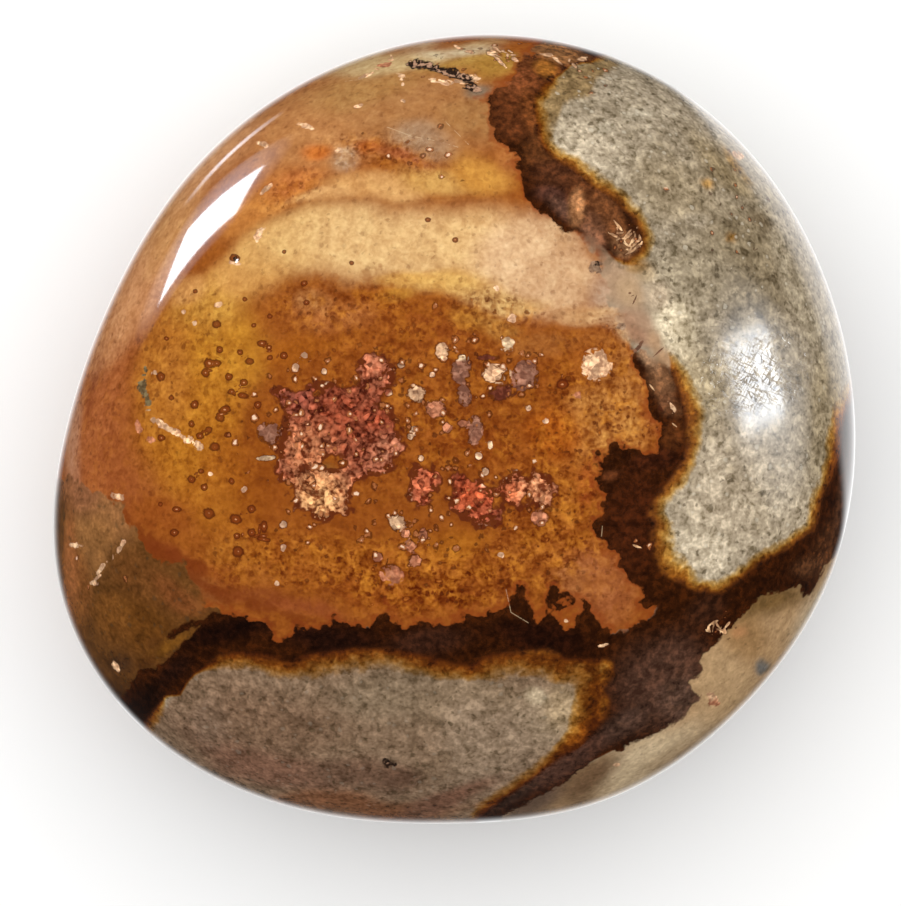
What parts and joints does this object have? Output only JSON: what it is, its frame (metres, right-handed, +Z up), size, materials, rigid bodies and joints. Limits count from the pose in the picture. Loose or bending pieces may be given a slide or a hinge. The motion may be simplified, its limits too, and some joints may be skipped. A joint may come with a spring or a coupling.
{
  "type": "polished jasper pebble",
  "caption": "Smooth domed stone pebble with a rounded, slightly squarish outline, polished all over, that lies on a small flat spot; to hold, weigh down paper or display",
  "frame": {"origin": "centre of the footprint, on the surface that the pebble rests on", "axes": "+Z up, through the thickness; +Y towards the top of the broad face as it is shown; +X to its right"},
  "size_m": [0.0548, 0.054, 0.0317],
  "materials": {
    "polished_jasper": "polished"
  },
  "bodies": {
    "root": {"pebble": "polished_jasper"}
  },
  "joints": []
}
